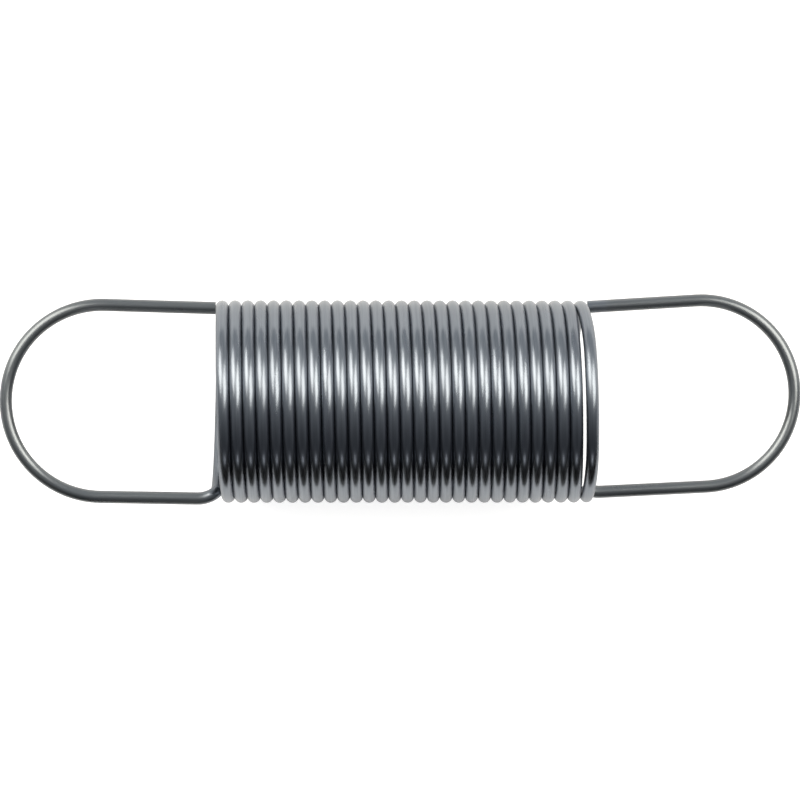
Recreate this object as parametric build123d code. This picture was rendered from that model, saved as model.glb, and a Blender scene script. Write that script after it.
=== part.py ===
from build123d import *
import math
import os

# Extension spring, close-wound from one length of round wire, with a long side loop at each end.
# Units are millimetres.  +X runs along the coil's axis, +Y across the loops, +Z up.  The spring lies on
# its side: z = 0 is the surface it rests on, and the origin is under the middle of the coil.
# Angles round the coil are in degrees from +Y towards +Z, so 90 is the top, 180 is the -Y side and
# 270 is the underside.  The coil is right-handed: it climbs towards +X as the angle grows.

# Wire and coil
wire_diameter = 1.24
coil_outer_diameter = 20.0
turns = 29
turn_gap = 0.025

# Where the wire leaves the coil, a little below the -Y side: the left end's angle is counted round the
# first turn and the right end's round the last one
left_leave = 199.8
right_leave = 195.0

# The right-hand end turn stands off its neighbour over the top of the coil, and comes back to it over
# spread_ramp degrees at each side
spread = 0.28
spread_from = 0.0
spread_to = 178.0
spread_ramp = 60.0

# Loops, which lie level: how far each reaches from the coil's middle, how wide it is over the wire, how far
# it leans to +Y, and how much its two legs close in towards the coil
left_reach = 39.9
right_reach = 40.05
left_width = 20.35
right_width = 19.88
left_lean = 1.0
right_lean = 2.8
leg_closing = 0.65

# Bend out of the coil, and the gentle bend after it that brings the leg back into line
root_radius = 0.9
ease_radius = 3.0
left_droop = 24.0
right_droop = 10.0

# Air between each cut end and the side of the turn that it faces, at the level of that loop
left_end_gap = 0.05
right_end_gap = 0.42

# Derived sizes
wire_radius = wire_diameter / 2
coil_radius = (coil_outer_diameter - wire_diameter) / 2
pitch = wire_diameter + turn_gap
coil_start_x = -turns * pitch / 2
last_turn = 360.0 * turns


def turn(angle):
    """Unit vector that points out from the coil's axis at an angle round the coil."""
    return Vector(0, math.cos(math.radians(angle)), math.sin(math.radians(angle)))


def axial(angle):
    """Place of the helix along the axis at an angle, counted from the -Y side of its first turn."""
    return coil_start_x + pitch * (angle - 180.0) / 360.0


def spread_at(angle):
    """How far the last turn stands off its neighbour at an angle of that turn."""
    near_end = min(angle - spread_from, spread_to - angle)
    share = min(max(near_end / spread_ramp, 0.0), 1.0)
    return spread * share * share * (3.0 - 2.0 * share)


def helix_point(angle):
    """Point of the wire's centre line on the coil, with the coil's axis on the X axis."""
    return Vector(axial(angle) + spread_at(angle - last_turn), 0, 0) + turn(angle) * coil_radius


def helix_tangent(angle):
    """Direction of the centre line on the even part of the coil, towards +X."""
    climb = pitch / (2 * math.pi)
    return (Vector(climb, 0, 0) + turn(angle + 90.0) * coil_radius).normalized()


def even_coil(start, end):
    """Helix from one angle to another."""
    rise = pitch * (end - start) / 360.0
    frame = Plane(origin=(axial(start), 0, 0), x_dir=turn(start), z_dir=(1, 0, 0))
    return frame * Helix(pitch, rise, coil_radius)


def spread_turn(start, end, spans):
    """Smooth curve over the turn that stands off, in line with the helix at both ends."""
    step = (end - start) / spans
    points = [helix_point(last_turn + start + step * i) for i in range(spans + 1)]
    tangents = [helix_tangent(start), helix_tangent(end)]
    return Spline(points, tangents=tangents)


def bend(start, heading, new_heading, radius):
    """Tangent arc that turns a heading into another one, and the point where it ends."""
    half = math.radians(heading.get_angle(new_heading)) / 2
    corner = start + heading * (radius * math.tan(half))
    end = corner + new_heading * (radius * math.tan(half))
    return TangentArc(start, end, tangent=heading), end


def side_loop(start, heading, side, reach, width, lean, droop, end_x):
    """Root bends, leg, round crown and cut leg of one loop, from where the wire leaves the coil.

    side is -1 at the left end and +1 at the right end, and end_x is where the second leg is cut off.
    """
    radius = (width - wire_diameter) / 2
    outward = Vector(side, 0, 0).rotate(Axis.Z, side * lean)
    drooped = Vector(side, 0, 0).rotate(Axis.Z, -side * droop)
    across = outward.rotate(Axis.Z, side * 90.0)
    normal = outward.cross(across)
    root, root_end = bend(start, heading, drooped, root_radius)
    ease, leg_start = bend(root_end, drooped, outward, ease_radius)
    # The crown's outermost point is where the outline's X is greatest: one radius out from its centre
    centre_x = side * (reach - wire_radius - radius)
    along = (centre_x - (leg_start + across * radius).X) / outward.X
    leg_end = leg_start + outward * along
    centre = leg_end + across * radius
    back = (outward * -1).rotate(Axis((0, 0, 0), normal), leg_closing)
    crown_end = centre + back.cross(normal) * radius
    crown_top = centre + outward * radius
    cut_length = (end_x - crown_end.X) / back.X
    leg = Line(leg_start, leg_end)
    crown = ThreePointArc(leg_end, crown_top, crown_end)
    cut_leg = Line(crown_end, crown_end + back * cut_length)
    return [root, ease, leg, crown, cut_leg]


def centre_line():
    """The wire's whole centre line, from the left cut end to the right one."""
    right_angle = last_turn + right_leave
    left_end_x = axial(540.0 - left_leave) - wire_radius - left_end_gap
    right_end_x = axial(last_turn + 180.0 - right_leave) + wire_radius + right_end_gap
    left = side_loop(
        helix_point(left_leave), helix_tangent(left_leave) * -1, -1,
        left_reach, left_width, left_lean, left_droop, left_end_x,
    )
    right = side_loop(
        helix_point(right_angle), helix_tangent(right_angle), 1,
        right_reach, right_width, right_lean, right_droop, right_end_x,
    )
    coil = [
        even_coil(left_leave, last_turn + spread_from),
        spread_turn(spread_from, spread_to, 12),
        even_coil(last_turn + spread_to, right_angle),
    ]
    return left[::-1] + coil + right


def spring_wire():
    """The wire as one solid: a round section carried along the centre line, laid on its side."""
    edges = centre_line()
    path = Wire(edges)
    section = Plane(origin=path @ 0, z_dir=path % 0) * Circle(wire_radius)
    solid = sweep(section, path=path)
    expected = math.pi * wire_radius**2 * path.length
    print(f"wire length {path.length:.1f} mm, volume {solid.volume:.1f} mm3, section x length {expected:.1f} mm3")
    return Pos(0, 0, coil_outer_diameter / 2) * solid


os.makedirs("parts", exist_ok=True)
export_step(spring_wire(), "parts/spring_wire.step")
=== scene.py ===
"""Looks of a close-wound extension spring: its drawn-steel wire, cut ends, studio floor, lights and camera.

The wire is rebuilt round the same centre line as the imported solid, in metres: a right-handed coil with a
long side loop at each end.  Angles round the coil are in degrees from +Y towards +Z.
"""
import logging
import math
from dataclasses import dataclass, field
from enum import Enum

import bpy
from mathutils import Matrix, Vector


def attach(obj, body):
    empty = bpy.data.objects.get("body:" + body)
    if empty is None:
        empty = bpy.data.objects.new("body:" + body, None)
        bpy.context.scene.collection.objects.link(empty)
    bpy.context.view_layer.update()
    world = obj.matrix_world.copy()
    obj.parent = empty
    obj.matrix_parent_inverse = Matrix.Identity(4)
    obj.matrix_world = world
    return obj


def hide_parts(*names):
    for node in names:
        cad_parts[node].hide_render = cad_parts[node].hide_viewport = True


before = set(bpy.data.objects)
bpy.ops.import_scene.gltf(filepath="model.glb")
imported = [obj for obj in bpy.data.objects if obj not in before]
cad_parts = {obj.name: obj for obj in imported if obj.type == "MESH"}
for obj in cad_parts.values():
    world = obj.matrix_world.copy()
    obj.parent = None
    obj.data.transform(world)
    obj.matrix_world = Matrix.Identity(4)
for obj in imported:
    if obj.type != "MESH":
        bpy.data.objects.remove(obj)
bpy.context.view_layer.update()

MM = 0.001
log = logging.getLogger("extension_spring")


class End(Enum):
    """The two ends of the spring, by the side of the coil that they lie on."""

    LEFT = -1
    RIGHT = 1


class Ray(Enum):
    """Kinds of ray that the stage is lit differently for, by their Light Path output."""

    SEEN_DIRECTLY = "Is Camera Ray"
    LIGHTING_THE_FLOOR = "Is Diffuse Ray"


def linear(hex_colour: str) -> tuple[float, float, float, float]:
    """Turn an sRGB hex colour into the linear colour that a shader socket takes.

    Args:
        hex_colour: six hex digits, such as "9aa0a8".

    Returns:
        Linear red, green, blue and an alpha of 1.
    """
    channels = [int(hex_colour[i:i + 2], 16) / 255 for i in (0, 2, 4)]
    red, green, blue = [c / 12.92 if c <= 0.04045 else ((c + 0.055) / 1.055) ** 2.4 for c in channels]
    return red, green, blue, 1.0


def add_node(tree: bpy.types.NodeTree, kind: str, links: dict | None = None, **settings) -> bpy.types.Node:
    """Add one shader node with its settings and what feeds it.

    Args:
        tree: the node tree to add to.
        kind: the node's type name, such as "ShaderNodeTexNoise".
        links: input name or number to an output socket that feeds it.
        settings: values by input name (spaces as underscores) or, failing that, by node property.

    Returns:
        The new node.
    """
    node = tree.nodes.new(kind)
    for name, value in settings.items():
        if hasattr(node, name):
            setattr(node, name, value)
        else:
            node.inputs[name.replace("_", " ")].default_value = value
    for name, socket in (links or {}).items():
        tree.links.new(socket, node.inputs[name])
    return node


def deselect_all() -> None:
    """Leave object mode with nothing selected, so that an operator acts on the new piece alone."""
    if bpy.context.object and bpy.context.object.mode != "OBJECT":
        bpy.ops.object.mode_set(mode="OBJECT")
    bpy.ops.object.select_all(action="DESELECT")


def turn(angle: float) -> Vector:
    """Unit vector that points out from the coil's axis.

    Args:
        angle: degrees round the coil, from +Y towards +Z.

    Returns:
        The direction, square to the axis.
    """
    return Vector((0.0, math.cos(math.radians(angle)), math.sin(math.radians(angle))))


@dataclass(frozen=True)
class LoopShape:
    """Sizes of one side loop, in metres and degrees.

    leave_angle is where the wire leaves the coil, counted round that end's own turn.  reach is from the
    coil's middle to the loop's outermost point, and width is over the wire.  lean turns the whole loop towards
    +Y and droop is how far its first bend overshoots.  end_gap is the air between the cut end and the coil.
    """

    end: End
    leave_angle: float
    reach: float
    width: float
    lean: float
    droop: float
    end_gap: float


@dataclass(frozen=True)
class CentreLine:
    """The wire's centre line, from the left cut end to the right one, in metres and degrees.

    spread is how far the right-hand end turn stands off its neighbour, and leg_closing is how much a loop's two
    legs close in towards the coil.
    """

    wire_diameter: float = 1.24 * MM
    coil_outer_diameter: float = 20.0 * MM
    turns: int = 29
    turn_gap: float = 0.025 * MM
    spread: float = 0.28 * MM
    spread_from: float = 0.0
    spread_to: float = 178.0
    spread_ramp: float = 60.0
    leg_closing: float = 0.65
    root_radius: float = 0.9 * MM
    ease_radius: float = 3.0 * MM
    left: LoopShape = LoopShape(
        End.LEFT, leave_angle=199.8, reach=39.9 * MM, width=20.35 * MM, lean=1.0, droop=24.0, end_gap=0.05 * MM,
    )
    right: LoopShape = LoopShape(
        End.RIGHT, leave_angle=195.0, reach=40.05 * MM, width=19.88 * MM, lean=2.8, droop=10.0, end_gap=0.42 * MM,
    )
    # How far the drawn wire reaches past the middle between two turns, so that no light leaks through
    overlap: float = 0.01 * MM
    # How many straight steps each stretch is drawn in
    steps_per_turn: int = 64
    root_steps: int = 14
    ease_steps: int = 6
    leg_steps: int = 12
    crown_steps: int = 56
    cut_leg_steps: int = 14

    @property
    def wire_radius(self) -> float:
        """Half the wire's diameter."""
        return self.wire_diameter / 2

    @property
    def coil_radius(self) -> float:
        """Radius of the coil's centre line."""
        return (self.coil_outer_diameter - self.wire_diameter) / 2

    @property
    def pitch(self) -> float:
        """Distance between neighbouring turns along the axis."""
        return self.wire_diameter + self.turn_gap

    @property
    def last_turn(self) -> float:
        """Angle at which the last whole turn starts."""
        return 360.0 * self.turns

    def axial(self, angle: float) -> float:
        """Place along the axis at an angle, with the coil's middle at 0.

        Args:
            angle: degrees round the coil, counted from the start of its first turn.

        Returns:
            X in metres.
        """
        return self.pitch * ((angle - 180.0) / 360.0 - self.turns / 2)

    def spread_at(self, angle: float) -> float:
        """How far the last turn stands off its neighbour.

        Args:
            angle: degrees round that turn, counted from its start.

        Returns:
            The distance along the axis, which is 0 on every other turn.
        """
        near_end = min(angle - self.spread_from, self.spread_to - angle)
        share = min(max(near_end / self.spread_ramp, 0.0), 1.0)
        return self.spread * share * share * (3.0 - 2.0 * share)

    def coil_point(self, angle: float) -> Vector:
        """Point of the centre line on the coil.

        Args:
            angle: degrees round the coil, counted from the start of its first turn.

        Returns:
            The point, with the coil's axis on the X axis.
        """
        along = self.axial(angle) + self.spread_at(angle - self.last_turn)
        return Vector((along, 0.0, 0.0)) + turn(angle) * self.coil_radius

    def coil_heading(self, angle: float) -> Vector:
        """Direction of the centre line on the coil.

        Args:
            angle: degrees round the coil, counted from the start of its first turn.

        Returns:
            Unit vector along the wire, towards +X.
        """
        climb = Vector((self.pitch / (2 * math.pi), 0.0, 0.0))
        return (climb + turn(angle + 90.0) * self.coil_radius).normalized()

    def coil_ends(self) -> tuple[float, float]:
        """Where the wire leaves the coil.

        Returns:
            The angles at the left and at the right.
        """
        return self.left.leave_angle, self.last_turn + self.right.leave_angle

    def coil_points(self) -> list[Vector]:
        """Points of the whole coil.

        Returns:
            Points from where the wire leaves it at the left to where it does so at the right.
        """
        first, last = self.coil_ends()
        count = round((last - first) / 360.0 * self.steps_per_turn)
        return [self.coil_point(first + (last - first) * i / count) for i in range(count + 1)]

    @staticmethod
    def bend_points(
        start: Vector, heading: Vector, new_heading: Vector, radius: float, steps: int,
    ) -> list[Vector]:
        """Points of a tangent arc that turns one heading into another.

        Args:
            start: where the arc begins, which isn't returned.
            heading: unit direction at the start.
            new_heading: unit direction at the end.
            radius: the arc's radius.
            steps: how many points to return.

        Returns:
            The arc's points after its start, the last one at its end.
        """
        angle = heading.angle(new_heading)
        inward = (new_heading - heading * heading.dot(new_heading)).normalized()
        turned = [angle * (i + 1) / steps for i in range(steps)]
        return [
            start + heading * (radius * math.sin(a)) + inward * (radius * (1 - math.cos(a)))
            for a in turned
        ]

    @staticmethod
    def straight_points(start: Vector, heading: Vector, length: float, steps: int) -> list[Vector]:
        """Points of a straight stretch.

        Args:
            start: where the stretch begins, which isn't returned.
            heading: unit direction.
            length: how far it runs.
            steps: how many points to return.

        Returns:
            Evenly spaced points after the start, the last one at the stretch's end.
        """
        return [start + heading * (length * (i + 1) / steps) for i in range(steps)]

    def loop_points(self, shape: LoopShape, start: Vector, heading: Vector) -> list[Vector]:
        """Points of one loop, from where the wire leaves the coil to its cut end.

        Args:
            shape: the loop's sizes.
            start: last point of the coil, which isn't returned.
            heading: the wire's direction there, away from the coil.

        Returns:
            Points along the root bends, the leg, the round crown and the cut leg.
        """
        side = shape.end.value
        radius = (shape.width - self.wire_diameter) / 2
        lean = Matrix.Rotation(math.radians(side * shape.lean), 3, "Z")
        droop = Matrix.Rotation(math.radians(-side * shape.droop), 3, "Z")
        outward = lean @ Vector((side, 0.0, 0.0))
        drooped = droop @ Vector((side, 0.0, 0.0))
        quarter = Matrix.Rotation(math.radians(side * 90.0), 3, "Z")
        across = quarter @ outward
        points = self.bend_points(start, heading, drooped, self.root_radius, self.root_steps)
        points += self.bend_points(points[-1], drooped, outward, self.ease_radius, self.ease_steps)
        leg_start = points[-1]
        centre_x = side * (shape.reach - self.wire_radius - radius)
        along = (centre_x - (leg_start + across * radius).x) / outward.x
        points += self.straight_points(leg_start, outward, along, self.leg_steps)
        closing = math.radians(self.leg_closing)
        back = -outward * math.cos(closing) - across * math.sin(closing)
        points += self.crown_points(points[-1], outward, across, radius, math.pi + closing)
        turn_faced = 360.0 if shape.end is End.LEFT else self.last_turn
        face = self.axial(turn_faced + 180.0 - shape.leave_angle)
        end_x = face + side * (self.wire_radius + shape.end_gap)
        length = (end_x - points[-1].x) / back.x
        return points + self.straight_points(points[-1], back, length, self.cut_leg_steps)

    def crown_points(
        self, start: Vector, outward: Vector, across: Vector, radius: float, sweep: float,
    ) -> list[Vector]:
        """Points of the round crown.

        Args:
            start: where the crown begins, which isn't returned.
            outward: unit direction of the wire there, away from the coil.
            across: unit direction from the first leg to the second.
            radius: radius of the crown's centre line.
            sweep: how far it turns, in radians.

        Returns:
            Points after the start, the last one at the crown's end.
        """
        centre = start + across * radius
        turned = [sweep * (i + 1) / self.crown_steps for i in range(self.crown_steps)]
        return [
            centre - across * (radius * math.cos(a)) + outward * (radius * math.sin(a))
            for a in turned
        ]

    def fullness(self, point: Vector) -> float:
        """Share of the wire's radius to draw at a point, so that neighbouring turns meet and no light leaks.

        Args:
            point: a point of the centre line.

        Returns:
            A little over half the pitch as a share of the wire's radius, easing to 1 over the coil's end turns.
        """
        inside = min(max((self.pitch * self.turns / 2 - abs(point.x)) / self.pitch, 0.0), 1.0)
        meeting = (self.pitch / 2 + self.overlap) / self.wire_radius
        return 1.0 + (meeting - 1.0) * inside

    def beyond_coil(self, point: Vector) -> float:
        """How far a point has left the coil for a loop.

        Args:
            point: a point of the centre line.

        Returns:
            0 on the coil, rising to 1 within one pitch of its end.
        """
        return min(max((abs(point.x) - self.pitch * self.turns / 2) / self.pitch, 0.0), 1.0)

    def points(self) -> list[Vector]:
        """The whole centre line, laid on the surface that the spring rests on.

        Returns:
            Points from the left cut end to the right one.
        """
        coil = self.coil_points()
        first, last = self.coil_ends()
        left = self.loop_points(self.left, coil[0], -self.coil_heading(first))
        right = self.loop_points(self.right, coil[-1], self.coil_heading(last))
        lift = Vector((0.0, 0.0, self.coil_outer_diameter / 2))
        return [point + lift for point in left[::-1] + coil + right]


@dataclass(frozen=True)
class DrawnSpringSteel:
    """Patented and drawn carbon spring steel: pulled through a die, so fine lines run along the wire.

    It gives the eye a dark, slightly blue metal with a semi-gloss shine, broken into lengthwise streaks.
    """

    name: str = "drawn_spring_steel"
    steel: str = "989ea6"
    worn_steel: str = "797e86"
    # The loops are a little darker and warmer than the coil
    loop_tint: str = "f3f0e8"
    roughness: float = 0.29
    roughness_swing: float = 0.05
    # The die lines scatter light across the wire much more than along it
    cross_scatter: float = 0.78
    # Real die lines are 0.01 to 0.03 mm apart.  They are drawn 0.16 mm apart here, so that they show.
    line_spacing: float = 0.16 * MM
    line_length: float = 14.0 * MM
    line_depth: float = 0.004 * MM
    # The wire isn't quite even: its coiled surface leans a little from place to place
    waver_length: float = 9.0 * MM
    waver_width: float = MM / 0.6
    waver_depth: float = 0.02 * MM

    def material(self) -> bpy.types.Material:
        """Build the material, whose patterns and grain read the wire's own vertex attributes.

        Returns:
            The material.
        """
        material = bpy.data.materials.new(self.name)
        material.use_nodes = True
        tree = material.node_tree
        tree.nodes.clear()
        place = add_node(tree, "ShaderNodeAttribute", attribute_name="straightened")
        drawn = add_node(tree, "ShaderNodeAttribute", attribute_name="drawn_along")
        grain = add_node(
            tree, "ShaderNodeVectorTransform", {"Vector": drawn.outputs["Vector"]},
            vector_type="VECTOR", convert_from="OBJECT", convert_to="WORLD",
        )
        line_scale = (1 / self.line_length, 1 / self.line_spacing, 1 / self.line_spacing)
        fine = add_node(tree, "ShaderNodeMapping", {"Vector": place.outputs["Vector"]}, Scale=line_scale)
        lines = add_node(tree, "ShaderNodeTexNoise", {"Vector": fine.outputs[0]}, Scale=1.0, Detail=2.0)
        waver_scale = (1 / self.waver_length, 1 / self.waver_width, 1 / self.waver_width)
        slow = add_node(tree, "ShaderNodeMapping", {"Vector": place.outputs["Vector"]}, Scale=waver_scale)
        waver = add_node(tree, "ShaderNodeTexNoise", {"Vector": slow.outputs[0]}, Scale=1.0, Detail=1.0)
        colour = add_node(tree, "ShaderNodeMix", {"Factor": lines.outputs["Fac"]}, data_type="RGBA")
        colour.inputs[6].default_value = linear(self.worn_steel)
        colour.inputs[7].default_value = linear(self.steel)
        beyond = add_node(tree, "ShaderNodeAttribute", attribute_name="beyond_coil")
        tinted = add_node(
            tree, "ShaderNodeMix", {"Factor": beyond.outputs["Fac"], 6: colour.outputs[2]},
            data_type="RGBA", blend_type="MULTIPLY",
        )
        tinted.inputs[7].default_value = linear(self.loop_tint)
        rough = add_node(
            tree, "ShaderNodeMapRange", {"Value": waver.outputs["Fac"]},
            To_Min=self.roughness - self.roughness_swing, To_Max=self.roughness + self.roughness_swing,
        )
        swell = add_node(
            tree, "ShaderNodeBump", {"Height": waver.outputs["Fac"]}, Distance=self.waver_depth, Strength=1.0,
        )
        scored = add_node(
            tree, "ShaderNodeBump", {"Height": lines.outputs["Fac"], "Normal": swell.outputs[0]},
            Distance=self.line_depth, Strength=1.0,
        )
        surface = add_node(
            tree, "ShaderNodeBsdfPrincipled",
            {
                "Base Color": tinted.outputs[2], "Roughness": rough.outputs[0], "Normal": scored.outputs[0],
                "Tangent": grain.outputs[0],
            },
            Metallic=1.0, Anisotropic=self.cross_scatter, Anisotropic_Rotation=0.25,
        )
        add_node(tree, "ShaderNodeOutputMaterial", {"Surface": surface.outputs[0]})
        return material


@dataclass
class SpringWire:
    """The spring itself: one round wire bent along its centre line, with a sheared face at each end."""

    line: CentreLine = field(default_factory=CentreLine)
    finish: DrawnSpringSteel = field(default_factory=DrawnSpringSteel)
    bevel_resolution: int = 12
    burr_inset: float = 0.07 * MM
    burr_height: float = 0.02 * MM
    joining_distance: float = 0.001 * MM
    smooth_below: float = 40.0

    @property
    def sides(self) -> int:
        """Number of faces round the wire that the curve's bevel resolution gives."""
        return 2 * self.bevel_resolution + 4

    def build(self) -> bpy.types.Object:
        """Model the wire and dress it.

        Returns:
            The finished wire, at the origin.
        """
        points = self.line.points()
        wire = self.drawn_curve(points)
        self.mark_straightened(wire, points)
        self.dress_cut_ends(wire)
        deselect_all()
        wire.select_set(True)
        bpy.context.view_layer.objects.active = wire
        bpy.ops.object.shade_smooth_by_angle(angle=math.radians(self.smooth_below))
        wire.data.materials.clear()
        wire.data.materials.append(self.finish.material())
        return wire

    def drawn_curve(self, points: list[Vector]) -> bpy.types.Object:
        """Draw the centre line as a curve, give it the wire's thickness and make it a mesh.

        Args:
            points: the centre line's points.

        Returns:
            The wire as a mesh object at the origin, with closed ends.
        """
        deselect_all()
        bpy.ops.curve.primitive_nurbs_path_add(location=(0, 0, 0))
        path = bpy.context.object
        path.name = path.data.name = "wire"
        curve = path.data
        curve.splines.clear()
        spline = curve.splines.new("POLY")
        spline.points.add(len(points) - 1)
        for place, point in zip(spline.points, points):
            place.co = (*point, 1.0)
            place.radius = self.line.fullness(point)
        curve.dimensions = "3D"
        curve.twist_mode = "MINIMUM"
        curve.bevel_depth = self.line.wire_radius
        curve.bevel_resolution = self.bevel_resolution
        curve.use_fill_caps = True
        bpy.ops.object.convert(target="MESH")
        return bpy.context.object

    def mark_straightened(self, wire: bpy.types.Object, points: list[Vector]) -> None:
        """Write where each vertex would lie on the wire pulled straight along X, and how the wire runs there.

        Args:
            wire: the wire's mesh object, whose vertices come in rings along the centre line.
            points: the centre line's points, one for each ring.
        """
        mesh = wire.data
        lengths = [0.0]
        for before, after in zip(points, points[1:]):
            lengths.append(lengths[-1] + (after - before).length)
        last = len(points) - 1
        headings = [
            (points[min(i + 1, last)] - points[max(i - 1, 0)]).normalized()
            for i in range(last + 1)
        ]
        shares = [self.line.beyond_coil(point) for point in points]
        radius = self.line.wire_radius
        rings = [min(index // self.sides, last) for index in range(len(mesh.vertices))]
        step = 2 * math.pi / self.sides
        angles = [step * (index % self.sides) for index in range(len(mesh.vertices))]
        places = [
            (lengths[ring], radius * math.cos(angle), radius * math.sin(angle))
            for ring, angle in zip(rings, angles)
        ]
        # Each attribute is filled before the next is made, because making one can move the others in memory
        straight = mesh.attributes.new("straightened", "FLOAT_VECTOR", "POINT")
        straight.data.foreach_set("vector", [value for place in places for value in place])
        drawn = mesh.attributes.new("drawn_along", "FLOAT_VECTOR", "POINT")
        drawn.data.foreach_set("vector", [value for ring in rings for value in headings[ring]])
        beyond = mesh.attributes.new("beyond_coil", "FLOAT", "POINT")
        beyond.data.foreach_set("value", [shares[ring] for ring in rings])

    def dress_cut_ends(self, wire: bpy.types.Object) -> None:
        """Join both end caps to the wire and roll their rims over a little, as a cutter leaves them.

        Args:
            wire: the wire's mesh object, whose caps are still loose triangles.
        """
        deselect_all()
        wire.select_set(True)
        bpy.context.view_layer.objects.active = wire
        bpy.ops.object.mode_set(mode="EDIT")
        bpy.ops.mesh.select_mode(type="FACE")
        bpy.ops.mesh.select_all(action="DESELECT")
        bpy.ops.object.mode_set(mode="OBJECT")
        # The wire's wall is all quads, so its triangles are the two caps
        for face in wire.data.polygons:
            face.select = len(face.vertices) == 3
        bpy.ops.object.mode_set(mode="EDIT")
        bpy.ops.mesh.remove_doubles(threshold=self.joining_distance, use_unselected=True)
        bpy.ops.mesh.dissolve_faces()
        bpy.ops.mesh.inset(thickness=self.burr_inset, depth=self.burr_height, use_individual=True)
        bpy.ops.object.mode_set(mode="OBJECT")
        log.info("sheared faces: %d", sum(len(face.vertices) > 4 for face in wire.data.polygons))


@dataclass(frozen=True)
class Softbox:
    """One soft lamp, placed by the direction that it shines from.  Its sizes are in metres."""

    name: str
    direction: tuple[float, float, float]
    width: float
    height: float
    brightness: float
    colour: str = "ffffff"
    distance: float = 0.5

    def build(self, target: Vector) -> bpy.types.Object:
        """Add the lamp, turned to the target.

        Args:
            target: the point that the lamp shines at.

        Returns:
            The lamp object.
        """
        data = bpy.data.lights.new(self.name, "AREA")
        data.shape = "RECTANGLE"
        data.size = self.width
        data.size_y = self.height
        data.energy = self.brightness * math.pi * self.width * self.height
        data.color = linear(self.colour)[:3]
        lamp = bpy.data.objects.new(self.name, data)
        bpy.context.scene.collection.objects.link(lamp)
        towards = Vector(self.direction).normalized()
        lamp.location = target + towards * self.distance
        lamp.rotation_euler = towards.to_track_quat("Z", "Y").to_euler()
        return lamp


@dataclass(frozen=True)
class PaperFloor:
    """Matt white paper that the spring lies on.

    lift is a little light of its own that only the camera sees, so that the paper reads as white while the
    spring's shadow stays on it.
    """

    name: str = "matt_white_paper"
    paper: str = "d6d6d6"
    side: float = 8.0
    lift: float = 0.54

    def build(self) -> bpy.types.Object:
        """Add the floor with its material.

        Returns:
            The floor object.
        """
        deselect_all()
        bpy.ops.mesh.primitive_plane_add(size=self.side, location=(0, 0, 0))
        floor = bpy.context.object
        floor.name = floor.data.name = "floor"
        material = bpy.data.materials.new(self.name)
        material.use_nodes = True
        tree = material.node_tree
        shader = tree.nodes["Principled BSDF"]
        shader.inputs["Base Color"].default_value = linear(self.paper)
        shader.inputs["Roughness"].default_value = 1.0
        shader.inputs["Specular IOR Level"].default_value = 0.0
        shader.inputs["Emission Color"].default_value = (1.0, 1.0, 1.0, 1.0)
        path = add_node(tree, "ShaderNodeLightPath")
        seen = path.outputs[Ray.SEEN_DIRECTLY.value]
        lift = add_node(tree, "ShaderNodeMath", {0: seen}, operation="MULTIPLY")
        lift.inputs[1].default_value = self.lift
        tree.links.new(lift.outputs[0], shader.inputs["Emission Strength"])
        floor.data.materials.append(material)
        return floor


@dataclass(frozen=True)
class BlackFlag:
    """Black board along the -Y side that only reflections see.  It keeps the far floor out of the metal."""

    name: str = "black_flag"
    place: float = -45.0 * MM
    length: float = 400.0 * MM
    height: float = 25.0 * MM
    black: str = "161616"

    def build(self) -> bpy.types.Object:
        """Add the board, hidden from the camera, from diffuse light and from shadows.

        Returns:
            The board object.
        """
        deselect_all()
        middle = (0.0, self.place, self.height / 2)
        bpy.ops.mesh.primitive_plane_add(size=1.0, location=middle, rotation=(math.pi / 2, 0, 0))
        flag = bpy.context.object
        flag.scale = (self.length, self.height, 1.0)
        bpy.ops.object.transform_apply(location=True, rotation=True, scale=True)
        flag.name = flag.data.name = self.name
        material = bpy.data.materials.new(self.name)
        material.use_nodes = True
        shader = material.node_tree.nodes["Principled BSDF"]
        shader.inputs["Base Color"].default_value = linear(self.black)
        shader.inputs["Roughness"].default_value = 1.0
        shader.inputs["Specular IOR Level"].default_value = 0.0
        flag.data.materials.append(material)
        flag.visible_camera = False
        flag.visible_diffuse = False
        flag.visible_shadow = False
        return flag


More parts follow.
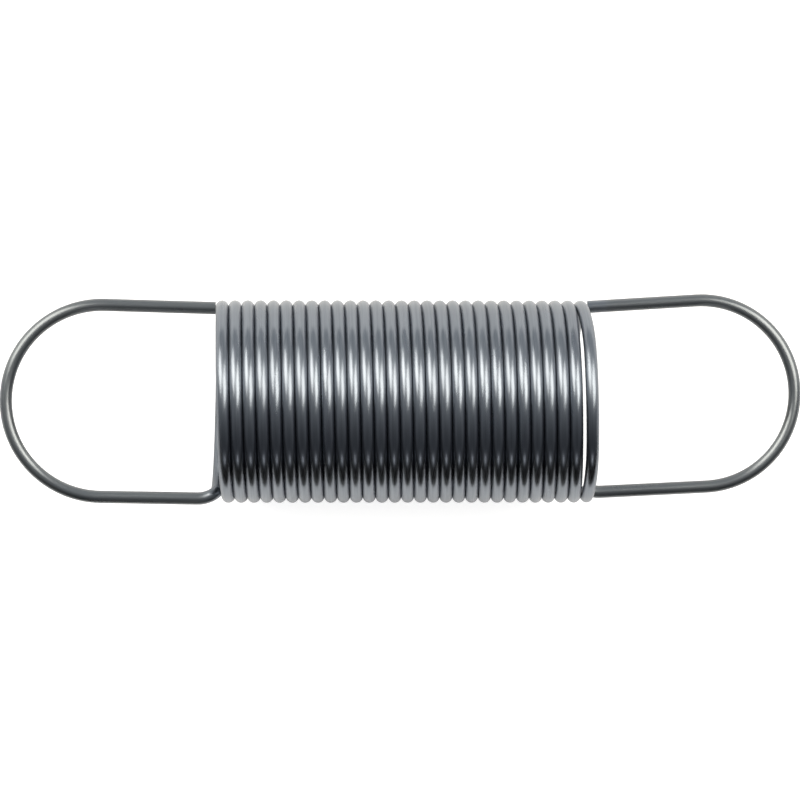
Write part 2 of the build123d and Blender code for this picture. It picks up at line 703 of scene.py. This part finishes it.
@dataclass
class Studio:
    """Floor, world, soft lamps and the camera that looks straight down on the spring."""

    view_width: float = 79.2 * MM
    axis_height: float = 10.0 * MM
    camera_distance: float = 376.0 * MM
    sensor: float = 36.0
    yaw: float = 1.1
    aim: tuple[float, float] = (-0.12 * MM, 0.15 * MM)
    near_clip: float = 0.01
    far_clip: float = 50.0
    # The room that the metal reflects: its two colours, and the Y of the directions where each takes over
    dark_side: str = "505256"
    bright_side: str = "c6c9cb"
    dark_until: float = -0.8
    bright_from: float = 0.6
    floor: PaperFloor = field(default_factory=PaperFloor)
    softboxes: tuple[Softbox, ...] = (
        Softbox("softbox_left", (-0.570, 0.500, 0.652), width=0.32, height=0.40, brightness=3.8, colour="fffaee"),
        Softbox("softbox_right", (0.570, 0.310, 0.761), width=0.32, height=0.40, brightness=3.8, colour="fffaee"),
        Softbox("low_card", (0.0, -0.93, 0.36), width=0.16, height=0.08, brightness=1.3),
    )
    flag: BlackFlag = field(default_factory=BlackFlag)

    def build(self) -> None:
        """Set up everything round the spring."""
        self.floor.build()
        self.flag.build()
        target = Vector((0.0, 0.0, self.axis_height))
        for softbox in self.softboxes:
            softbox.build(target)
        self.build_world()
        self.build_camera()
        bpy.context.scene.view_settings.view_transform = "Standard"

    def build_world(self) -> None:
        """White where the camera sees past the floor and for the floor's light.

        In the metal it is a dim room, brighter towards +Y, where the lamps stand.
        """
        world = bpy.data.worlds.new("studio")
        bpy.context.scene.world = world
        world.use_nodes = True
        tree = world.node_tree
        tree.nodes.clear()
        path = add_node(tree, "ShaderNodeLightPath")
        kinds = [path.outputs[kind.value] for kind in Ray]
        direct = add_node(tree, "ShaderNodeMath", {0: kinds[0], 1: kinds[1]}, operation="MAXIMUM")
        direction = add_node(tree, "ShaderNodeTexCoord")
        axes = add_node(tree, "ShaderNodeSeparateXYZ", {"Vector": direction.outputs["Generated"]})
        side = add_node(
            tree, "ShaderNodeMapRange", {"Value": axes.outputs["Y"]},
            interpolation_type="SMOOTHSTEP", From_Min=self.dark_until, From_Max=self.bright_from,
        )
        room = add_node(tree, "ShaderNodeMix", {"Factor": side.outputs[0]}, data_type="RGBA")
        room.inputs[6].default_value = linear(self.dark_side)
        room.inputs[7].default_value = linear(self.bright_side)
        ceiling = add_node(tree, "ShaderNodeBackground", {"Color": room.outputs[2]}, Strength=1.0)
        white = add_node(tree, "ShaderNodeBackground", Color=(1.0, 1.0, 1.0, 1.0), Strength=1.0)
        mix = add_node(
            tree, "ShaderNodeMixShader", {0: direct.outputs[0], 1: ceiling.outputs[0], 2: white.outputs[0]},
        )
        add_node(tree, "ShaderNodeOutputWorld", {"Surface": mix.outputs[0]})

    def build_camera(self) -> None:
        """Put the camera over the spring, a little to the left, far enough away for a narrow view."""
        data = bpy.data.cameras.new("camera")
        data.sensor_width = self.sensor
        data.lens = self.sensor * self.camera_distance / self.view_width
        data.clip_start = self.near_clip
        data.clip_end = self.far_clip
        camera = bpy.data.objects.new("camera", data)
        bpy.context.scene.collection.objects.link(camera)
        lean = math.radians(self.yaw)
        target = Vector((*self.aim, self.axis_height))
        camera.location = target + Vector((-math.sin(lean), 0.0, math.cos(lean))) * self.camera_distance
        camera.rotation_euler = (0.0, -lean, 0.0)
        bpy.context.scene.camera = camera


def main() -> None:
    """Build the spring and its studio."""
    logging.basicConfig(level=logging.INFO, format="%(name)s: %(message)s")
    wire = SpringWire().build()
    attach(wire, "root")
    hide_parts("spring_wire")
    log.info("%s: %d vertices, %d faces", wire.name, len(wire.data.vertices), len(wire.data.polygons))
    Studio().build()


if __name__ == "__main__":
    main()
